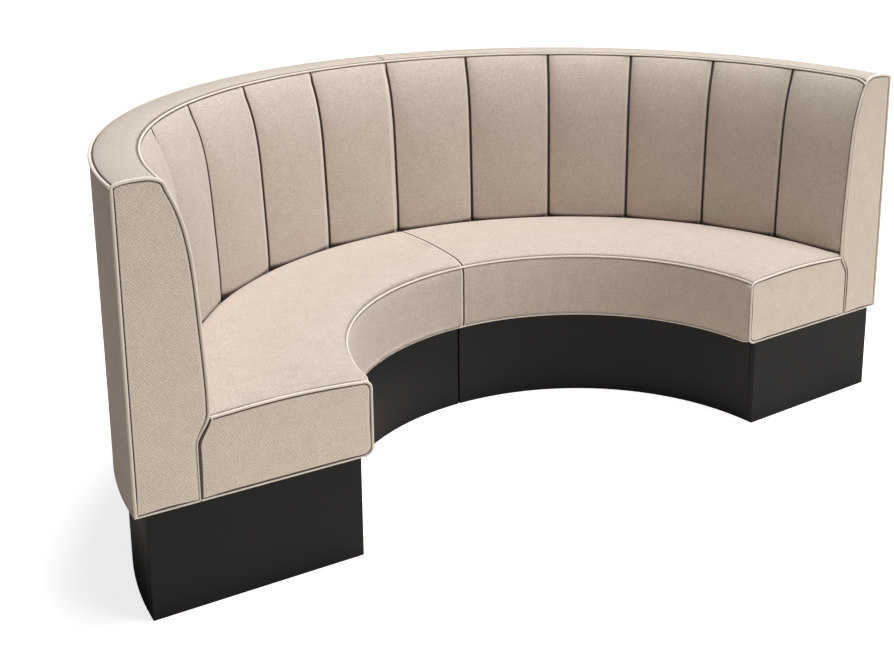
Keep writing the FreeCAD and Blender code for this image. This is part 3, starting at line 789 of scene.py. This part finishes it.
def seat_end_height(along):
    """Height of the seat's end seam: it rises a little to the back, and is crowned by half a sine wave."""
    share = np.clip((along - SEAT_FRONT) / (CUSHION_BACK - SEAT_FRONT), 0, 1)
    return SEAT_EDGE_HEIGHT + END_RISE * share + END_CROWN * np.sin(math.pi * share)


def rounded(corner, back, onwards):
    """Quarter circle round a square corner of the seat's end face, from a point back along one edge to a
    point onwards along the next."""
    turn = np.linspace(0, math.pi / 2, 7)[:, None]
    centre = corner + SEAT_CORNER * (back + onwards)
    return centre - SEAT_CORNER * (onwards * np.cos(turn) + back * np.sin(turn))


def seat_outline():
    """Outline of the seat's end face, from the bend forward along the crowned top, round the front corners
    and back along the foot, then up the split line and the bend. Also the number of points before the
    foot and before the split."""
    bend = bend_curve(BEND_GAP)[::-1]
    top_along = np.linspace(bend[-1, 0], SEAT_SEAM + SEAT_CORNER, 36)
    top = np.stack([top_along, np.minimum(seat_end_height(top_along), bend[-1, 1])], -1)
    upper = rounded(np.array([SEAT_SEAM, top[-1, 1]]), ALONG, -UP)
    lower = rounded(np.array([SEAT_SEAM, COVER_BOTTOM]), UP, ALONG)
    down = run(upper[-1], lower[0], 14)[:-1]
    foot = run(lower[-1], (bend[0, 0], COVER_BOTTOM), 36)
    split = run(foot[-1], bend[0], 16)[:-1]
    before_foot = np.concatenate([top, upper[1:], down, lower])
    outline = np.concatenate([before_foot, foot, split, bend[:-1]])
    return outline, len(before_foot), len(before_foot) + len(foot)


# %% End pads
RING_REACHES = (0.0, 0.001, 0.002, 0.0032, 0.0045, 0.006, 0.0075, 0.0095, 0.013, 0.018, 0.026)
RING_SHARES = (0.5, 0.66, 0.82, 0.93, 1.0)
PAD_DEPTH, PAD_SWELL, SWELL_WIDTH, REAR_INSET = 0.0155, 0.0015, 0.06, 0.010
# Reach of the painted shade beside the seam, and the span and strength of the painted highlight past it.
PAD_ROLL, PAD_SHADE = (0.012, 0.006), 0.0062
PAD_HIGHLIGHT, PAD_HIGHLIGHT_TONE = (0.0080, 0.0105), 0.9
HEM_REACH = 0.03
SPLIT_MIDDLE, SPLIT_REACH = SPLIT_RADIUS - 0.015, 0.016
# How much of the painted shade fades on the split line, by part and side.
SPLIT_FADE = {"back": {"left": 0.85, "right": 0.1}, "seat": {"left": 0.1, "right": 0.85}}
SPINE_INSET = 0.09


def on_split(outline):
    """1 on the split line between back and seat, falling to 0 up the bend, and 0 away from the line."""
    near = np.abs(SPLIT_MIDDLE - outline[:, 0]) < SPLIT_REACH
    return smooth((SEAT_BEND - outline[:, 1]) / BEND_DROP) * near


def end_pad(part, side, outline, spine):
    """Padded face from an outline of (along, height) points and a spine of the same length: rings between
    them, set back by a rolled edge at the seam and swelling outwards past it. Painted shade lies beside the
    seam, with a painted highlight just past it, and the shade fades on one side of the split line."""
    length = np.linalg.norm(spine - outline, axis=-1)
    near = np.array(RING_REACHES)[:, None]
    far = near[-1] + (length[None] - near[-1]) * np.array(RING_SHARES)[:, None]
    reach = np.minimum(np.concatenate([np.repeat(near, len(length), 1), far]), length[None])
    flat = outline[None] + (spine - outline)[None] * (reach / length[None])[..., None]
    depth = roll_off(reach, *PAD_ROLL) - PAD_SWELL * ellipse_rise(reach / SWELL_WIDTH)
    rings = np.stack([flat[..., 0], depth, flat[..., 1]], -1)
    # Share of the painted shade kept: it fades on one side of the split line.
    sewn = 1 - SPLIT_FADE[part][side] * on_split(outline)
    # Painted shade beside the seam, and a painted highlight just past it.
    tone = (seam_shade(reach, PAD_SHADE) + PAD_HIGHLIGHT_TONE * seam_highlight(reach, *PAD_HIGHLIGHT)) * sewn[None]
    tone = np.maximum(tone, np.where(reach < HEM_REACH, hem_tone(flat[..., 1]), 0) + np.minimum(tone, 0))
    inwards = outline + (spine - outline) * (REAR_INSET / length)[:, None]
    rear = np.stack([inwards[:, 0], np.full(len(outline), PAD_DEPTH), inwards[:, 1]], -1)[None]
    rings = np.concatenate([rear, rings])
    tone = np.concatenate([tone[:1], tone])
    closed = np.concatenate([rings, rings[:, :1]], 1)
    shades = np.concatenate([tone, tone[:, :1]], 1)
    grid = (closed, closed[..., [0, 2]], shades)
    piece = make_piece(f"{part}_end_{side}", side, [grid], END_CLOTH, [rear[0]])
    return piece


def back_end_pad(side):
    """The tall pad's spine runs up the middle of the face, and follows its inner edge above the bend."""
    outline, _ = back_outline()
    height = np.clip(outline[:, 1], COVER_BOTTOM + 0.07, BAND_HEIGHT - 0.05)
    blend_in = smooth((height - (SEAT_BEND - 0.06)) / 0.07)
    inner = SPLIT_RADIUS + (seam_radius(height) - SPLIT_RADIUS) * blend_in
    spine = np.stack([(inner + OUTER_RADIUS) / 2, height], -1)
    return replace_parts(end_pad("back", side, outline, spine), side + "_back_end_cover")


def seat_end_pad(side):
    """The seat pad's spine runs level through the middle of the face."""
    outline, _, _ = seat_outline()
    middle = (COVER_BOTTOM + SEAT_EDGE_HEIGHT) / 2
    along = np.clip(outline[:, 0], SEAT_FRONT + SPINE_INSET, SPLIT_RADIUS - SPINE_INSET)
    spine = np.stack([along, np.full(len(outline), middle)], -1)
    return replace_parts(end_pad("seat", side, outline, spine), side + "_seat_cushion")


for side in SIDES:
    back_end_pad(side)

# %% [markdown]
# ## The seat cushion
#
# The seat is one long foam slab on its deck, cut to the curve of the bench. Its cloth is sewn along the front
# edge and the end, so the top crowns between the seams and drops to them in a round shoulder. In front
# and at the end a padded border hangs down over the seat box. The front edge is cut round where it meets the
# end face, and the rear corner there is filled out, so that no gap opens beside the arm.

# %% Seat cushion
SHOULDER, REAR_ROLL, SEAT_ROLL = 0.055, (0.02, 0.007), (0.012, 0.005)
END_DRAW = 0.06
REAR_FILL, REAR_FILL_WIDTH, REAR_FILL_LENGTH = 0.014, 0.03, 0.05
CORNER_REACH, CORNER_CUT = 0.032, (1 - math.sqrt(0.5)) * SEAT_CORNER
BORDER_BULGE, BORDER_INSET, BORDER_DEPTH = 0.006, 0.003, 0.0245
# Reach of the painted shade at the joint, and strength of the painted highlight beside it on each side.
SEAT_JOINT_SHADE = 0.0020
SEAT_JOINT_HIGHLIGHT = {"left": 1.0, "right": 0.3}


def seat_top(radius, end, joint):
    """Height of the seat: a crowned slope from front to back, less a shoulder at the front seam and a small
    one at the back, drawn down to the end seam and a little at the joint."""
    share = (radius - SEAT_FRONT) / (CUSHION_BACK - SEAT_FRONT)
    crown = CROWN_FRONT + (CROWN_BACK - CROWN_FRONT) * share + CROWN_MIDDLE * (1 - (2 * share - 1) ** 2)
    crown = crown - roll_off(radius - SEAT_SEAM, SHOULDER, CROWN_FRONT - SEAT_EDGE_HEIGHT)
    crown = crown - roll_off(CUSHION_BACK - radius, *REAR_ROLL) * smooth(end / REAR_FILL_LENGTH)
    seam = seat_end_height(radius)
    return seam + (crown - seam) * (1 - roll_off(end, END_DRAW, 1.0)) - roll_off(joint, *SEAT_ROLL)


def at_corner(end):
    """1 at the end face, falling to 0 where the front edge is square again."""
    return 1 - smooth(end / CORNER_REACH)


def corner_round(gap, end):
    """The front edge's rounded corner at the end face, for a point at a gap from the edge: how far it moves
    along its own face, and how far back along the other, by a quarter circle."""
    near = np.clip(1 - gap / SEAT_CORNER, 0, 1)
    full = np.clip(1 - (gap + CORNER_CUT * near) / SEAT_CORNER, 0, 1)
    return CORNER_CUT * near * at_corner(end), SEAT_CORNER * (1 - np.sqrt(1 - full ** 2)) * at_corner(end)


# %% Seat cushion as a piece


def cushion_top(side, angle):
    """Points and tone of the seat's top, from the front seam to the back."""
    reach = spread(SEAT_SEAM, CUSHION_BACK, 30, *NEAR_SEAM)[None, :]
    end, joint = angle * reach, (SECTION_ANGLE - angle) * reach
    onwards, down = corner_round(reach - SEAT_SEAM, end)
    near_rear = smooth(1 - (CUSHION_BACK - reach) / REAR_FILL_WIDTH)
    filled = REAR_FILL * near_rear * (1 - smooth(end / REAR_FILL_LENGTH))
    top = polar(reach + onwards + filled, angle, seat_top(reach, end, joint) - down)
    # Painted shade along the front and end seams and at the joint and back, and a painted highlight beside
    # the joint.
    tone = 0.45 * seam_shade(np.minimum(reach - SEAT_SEAM, end), 0.0036)
    tone = np.maximum(tone, seam_shade(np.minimum(joint, CUSHION_BACK - reach), SEAT_JOINT_SHADE))
    return top, tone + SEAT_JOINT_HIGHLIGHT[side] * seam_highlight(joint, 0.0032, 0.0070)


def cushion_border(side, angle):
    """Points and tone of the border in front, from the top seam down to the foot."""
    drop = spread(0, 1, 16, 0.005, 0.01, 0.017, 0.024, 0.032, 0.04, 0.05, 0.07)[None, :]
    height = SEAT_EDGE_HEIGHT - PIPING + (COVER_BOTTOM - SEAT_EDGE_HEIGHT + PIPING) * drop
    bulge = BORDER_BULGE * ellipse_rise(np.minimum(drop, 1 - drop) / 0.2)
    end, joint = angle * SEAT_FRONT, (SECTION_ANGLE - angle) * SEAT_FRONT
    radius = SEAT_FRONT + BORDER_INSET - bulge + roll_off(end, *SEAT_ROLL) + roll_off(joint, *JOINT_ROLL)
    below, back = corner_round(SEAT_EDGE_HEIGHT - height, end)
    above, foot_back = corner_round(height - COVER_BOTTOM, end)
    border = polar(radius + back + foot_back, angle, height - below + above)
    # Painted shade under the top seam, at the end, the joint and the hem, and a painted highlight beside the
    # joint.
    tone = 0.6 * seam_shade(np.minimum(SEAT_EDGE_HEIGHT - height, end), 0.0040)
    tone = np.maximum(np.maximum(tone, seam_shade(joint, SEAT_JOINT_SHADE)), hem_tone(height))
    return border, tone + SEAT_JOINT_HIGHLIGHT[side] * seam_highlight(joint, 0.0032, 0.0065)


def seat_cushion(side):
    """The seat's top, its border in front, and a plain inside that rests on the deck."""
    angle = section_angles(SEAT_FRONT, 60, start=0.003)[:, None]
    top, top_tone = cushion_top(side, angle)
    border, border_tone = cushion_border(side, angle)
    behind, deck = SEAT_FRONT + BORDER_DEPTH, CHANNEL_FOOT
    inside = polar(np.array([[behind, behind, CUSHION_BACK]]), angle, np.array([[COVER_BOTTOM, deck, deck]]))
    loops = np.concatenate([top[:, ::-1], border, inside], 1)
    tone = np.concatenate([top_tone[:, ::-1], border_tone], 1)
    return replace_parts(upholstered("seat_cushion", side, loops, tone), side + "_seat_cushion")


def seat_hold(radius, angle, height):
    """Held at the deck and the foot, and within 10 to 14 mm of every seam."""
    end, joint = angle * radius, (SECTION_ANGLE - angle) * radius
    clear = (end > 0.012) & (joint > 0.010)
    on_top = (radius > SEAT_FRONT + 0.012) & (radius < CUSHION_BACK - 0.014)
    on_top &= height > SEAT_EDGE_HEIGHT - 0.01
    on_border = (height > COVER_BOTTOM + 0.012) & (height < SEAT_EDGE_HEIGHT - 0.014)
    on_border &= radius < SEAT_FRONT + 0.0035
    return 1.0 - (clear & (on_top | on_border))


cushions = {side: seat_cushion(side) for side in SIDES}
let_out(cushions, seat_hold, cap=0.005)
for side in SIDES:
    seat_end_pad(side)

# %% [markdown]
# ## The piping
#
# Piping is a cord in a folded strip of cloth, sewn into a seam. It is a round tube carried along a path, with
# its cross-section kept square to the path at every point. It is thin along the bottom edges and down the
# split line.

# %% Piping
THIN_PIPING, SPLIT_PIPING = 0.0024, 0.0016
INNER_PIPING, SEAT_PIPING, SEAT_END_PIPING = PIPING * 0.68, PIPING * 0.66, PIPING * 0.85
CORD_SHIFT = 0.001
TUBE_SIDES, DIAGONAL = 10, np.ones(3)


def tube(path, radius):
    """Tube round a path of section points. Each ring lies square to the path: its two directions come from
    the tangent and the diagonal of the axes, which no path follows."""
    tangent = np.gradient(path, axis=0)
    tangent /= np.linalg.norm(tangent, axis=-1, keepdims=True)
    first = np.cross(tangent, DIAGONAL)
    first /= np.linalg.norm(first, axis=-1, keepdims=True)
    second = np.cross(tangent, first)
    turn = np.linspace(0, 2 * math.pi, TUBE_SIDES, endpoint=False)
    ring = np.cos(turn)[None, :, None] * first[:, None] + np.sin(turn)[None, :, None] * second[:, None]
    return path[:, None] + np.broadcast_to(radius, len(path))[:, None, None] * ring


def flat_path(outline):
    """Path on the end face, from its (along, height) points."""
    return np.stack([outline[:, 0], np.full(len(outline), CORD_SHIFT), outline[:, 1]], -1)


def piping(name, side, runs):
    """One piece from several runs of piping. Each run is a path and a cord radius."""
    grids, caps = [], []
    for path, radius in runs:
        strip, ends = closed_strip(tube(path, radius))
        grids.append(strip)
        caps.extend(ends)
    piece = make_piece(name + "_" + side, side, grids, PIPING_CLOTH, caps)
    return piece


def back_piping(side):
    """Cords along the outer and inner top edges, round the end face and along the foot."""
    angle = section_angles(OUTER_RADIUS, 90)
    outer = polar(OUTER_RADIUS, angle, BACK_EDGE_HEIGHT)
    inner_radius, inner_height = inner_edge(angle * OUTER_RADIUS)
    inner = polar(inner_radius - CORD_SHIFT, angle, inner_height)
    outline, uprights = back_outline()
    edge = outline[:uprights]
    edge_radius = PIPING + (SPLIT_PIPING - PIPING) * on_split(edge)
    foot = polar(OUTER_RADIUS - CORD_SHIFT, angle, COVER_BOTTOM)
    end_foot = np.concatenate([outline[uprights - 1:], outline[:1]])
    runs = [(outer, PIPING), (inner, INNER_PIPING), (flat_path(edge), edge_radius), (foot, THIN_PIPING),
            (flat_path(end_foot), THIN_PIPING)]
    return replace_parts(piping("back_piping_cord", side, runs), side + "_back_piping")


def seat_piping(side):
    """Cords along the front's top edge and foot, and round the end face. Both bend round its corners."""
    angle = section_angles(SEAT_FRONT, 70)
    cut = CORNER_CUT * at_corner(angle * SEAT_FRONT)
    front = polar(SEAT_SEAM + cut, angle, SEAT_EDGE_HEIGHT - cut)
    foot = polar(SEAT_SEAM + cut, angle, COVER_BOTTOM + cut)
    outline, foot_start, foot_stop = seat_outline()
    edge, end_foot = outline[:foot_start], outline[foot_start - 1:foot_stop]
    runs = [(front, SEAT_PIPING), (foot, THIN_PIPING), (flat_path(edge), SEAT_END_PIPING),
            (flat_path(end_foot), THIN_PIPING)]
    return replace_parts(piping("seat_piping_cord", side, runs), side + "_seat_piping")


for side in SIDES:
    back_piping(side)
    seat_piping(side)

# %% [markdown]
# ## The plinth
#
# The plinth panels come from the frame as they are. On the real bench their edges are eased before the
# lacquer goes on, which draws a thin light line along each edge, so each panel gets a small bevel on a merged
# copy. The copies stop just short of the joint, so that its line shows between the sections.

# %% Eased plinth edges
EDGE_EASE = 0.0022
JOINT_GAP = 0.004
CRISP_EDGE = math.radians(40)


def eased_panel(node_name):
    """A copy of a plinth panel with its edges rounded off."""
    mesh = frame["nodes"][node_name].data.copy()
    work = bmesh.new()
    work.from_mesh(mesh)
    bmesh.ops.remove_doubles(work, verts=work.verts, dist=WELD)
    work.to_mesh(mesh)
    work.free()
    points = mesh_points(mesh)
    side_sign = np.sign(points[:, 0].mean())
    points[:, 0] = side_sign * np.maximum(side_sign * points[:, 0], JOINT_GAP / 2)
    mesh.vertices.foreach_set("co", points.ravel())
    piece = bench_piece(node_name + "_eased", mesh, CRISP_EDGE)
    ease = piece.modifiers.new("ease", "BEVEL")
    ease.width = EDGE_EASE
    ease.segments = 3
    ease.limit_method = "ANGLE"
    ease.angle_limit = CRISP_EDGE
    ease.harden_normals = True
    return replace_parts(piece, node_name)


for side in SIDES:
    for panel in ("front", "back", "end"):
        eased_panel(f"{side}_plinth_{panel}_panel")

# %% [markdown]
# ## Floor and light
#
# A white studio: a floor that reads as white to the camera and keeps a soft shadow, one broad lamp above, and
# a distant one to the front right, which leaves the far side of each curve a little darker. To the camera the
# floor also glows, and more so away from the bench, so that only the ground near it takes the shadow.

# %% Studio
FLOOR_SIZE = 30.0
GLOW_NEAR, GLOW_FAR = 1.6, 4.2


def studio_floor():
    """A pale floor that, for the camera alone, also glows by a share that rises away from the bench."""
    bpy.ops.mesh.primitive_plane_add(size=FLOOR_SIZE)
    floor = bpy.context.object
    floor.name = "studio_floor"
    material, tree, solid = new_material("white_studio_floor")
    seen = add(tree, "LightPath").outputs["Is Camera Ray"]
    paint = add(tree, "BsdfDiffuse", {"Color": linear("#f5eee5")}).outputs["BSDF"]
    away = add(tree, "VectorMath", {0: solid}, operation="LENGTH").outputs["Value"]
    lift = add(tree, "MapRange", {"Value": away, "From Min": GLOW_NEAR, "From Max": GLOW_FAR,
                                  "To Min": 0.80, "To Max": 1.0}).outputs["Result"]
    glow = add(tree, "Emission", {"Color": (1, 1, 1, 1), "Strength": lift}).outputs["Emission"]
    lifted = add(tree, "AddShader", {0: paint, 1: glow}).outputs["Shader"]
    mixed = add(tree, "MixShader", {"Fac": seen, 1: paint, 2: lifted}).outputs["Shader"]
    add(tree, "OutputMaterial", {"Surface": mixed})
    floor.data.materials.append(material)


def studio_world():
    """Faint warm light from all round, and a white backdrop for the camera."""
    world = bpy.data.worlds.new("studio")
    world.use_nodes = True
    tree = world.node_tree
    tree.nodes.clear()
    seen = add(tree, "LightPath").outputs["Is Camera Ray"]
    ambient = add(tree, "Background", {"Color": (1, 0.95, 0.90, 1), "Strength": 0.045}).outputs["Background"]
    backdrop = add(tree, "Background", {"Color": (1, 1, 1, 1), "Strength": 1.0}).outputs["Background"]
    mixed = add(tree, "MixShader", {"Fac": seen, 1: ambient, 2: backdrop}).outputs["Shader"]
    add(tree, "OutputWorld", {"Surface": mixed})
    bpy.context.scene.world = world


# %% Lamps


def stand(name, data, place_at, across, up, backwards):
    """Puts a lamp or camera at a point, with its own three directions."""
    thing = bpy.data.objects.new(name, data)
    bpy.context.collection.objects.link(thing)
    columns = np.stack([across, up, backwards], -1)
    rows = [[*columns[row], place_at[row]] for row in range(3)]
    thing.matrix_world = Matrix(rows + [[0, 0, 0, 1]])
    print(name, "stands at", place_at)
    return thing


def softbox(name, place_at, aim, size, power):
    """Square area lamp at a point, turned to face its aim."""
    data = bpy.data.lights.new(name, "AREA")
    data.size = size
    data.energy = power
    towards = np.array(aim, float) - np.array(place_at, float)
    towards /= np.linalg.norm(towards)
    across = np.cross(towards, [0, 0, 1.0])
    across /= np.linalg.norm(across)
    return stand(name, data, place_at, across, np.cross(across, towards), -towards)


studio_floor()
studio_world()
softbox("overhead_softbox", (0.9, -0.5, 7.0), (0, 0, 0.4), 3.0, 485)
softbox("front_right_softbox", (6.8, -10.6, 5.1), (0, 0, 0.5), 5.2, 510)

# %% [markdown]
# ## The camera
#
# The camera looks from the front left, about 1.7 m above the floor. Its place, angles and lens were fitted to
# points of the bench, such as corners and the ends of seams, and the lens is shifted a little.

# %% Camera
CAMERA_PLACE = (-1.9601, -3.2056, 1.7187)
YAW, PITCH, ROLL = -0.6496, -0.2509, 0.0175
FOCAL_PIXELS, PRINCIPAL = 1326.0, (594.5, 169.4)
IMAGE_WIDTH, IMAGE_HEIGHT = 894, 653


def photo_camera():
    """Camera from its place, its yaw, pitch and roll in radians, and its focal length and principal point
    in pixels of the photograph."""
    forward = np.array([-math.sin(YAW) * math.cos(PITCH), math.cos(YAW) * math.cos(PITCH), math.sin(PITCH)])
    level = np.array([math.cos(YAW), math.sin(YAW), 0.0])
    upright = np.cross(level, forward)
    across = math.cos(ROLL) * level + math.sin(ROLL) * upright
    up = -math.sin(ROLL) * level + math.cos(ROLL) * upright
    data = bpy.data.cameras.new("photo_camera")
    data.sensor_fit = "HORIZONTAL"
    data.sensor_width = 36.0
    data.lens = FOCAL_PIXELS / IMAGE_WIDTH * data.sensor_width
    data.shift_x = (IMAGE_WIDTH / 2 - PRINCIPAL[0]) / IMAGE_WIDTH
    data.shift_y = (PRINCIPAL[1] - IMAGE_HEIGHT / 2) / IMAGE_WIDTH
    return stand("photo_camera", data, CAMERA_PLACE, across, up, -forward)


bpy.context.scene.camera = photo_camera()
bpy.context.scene.view_settings.view_transform = "Standard"
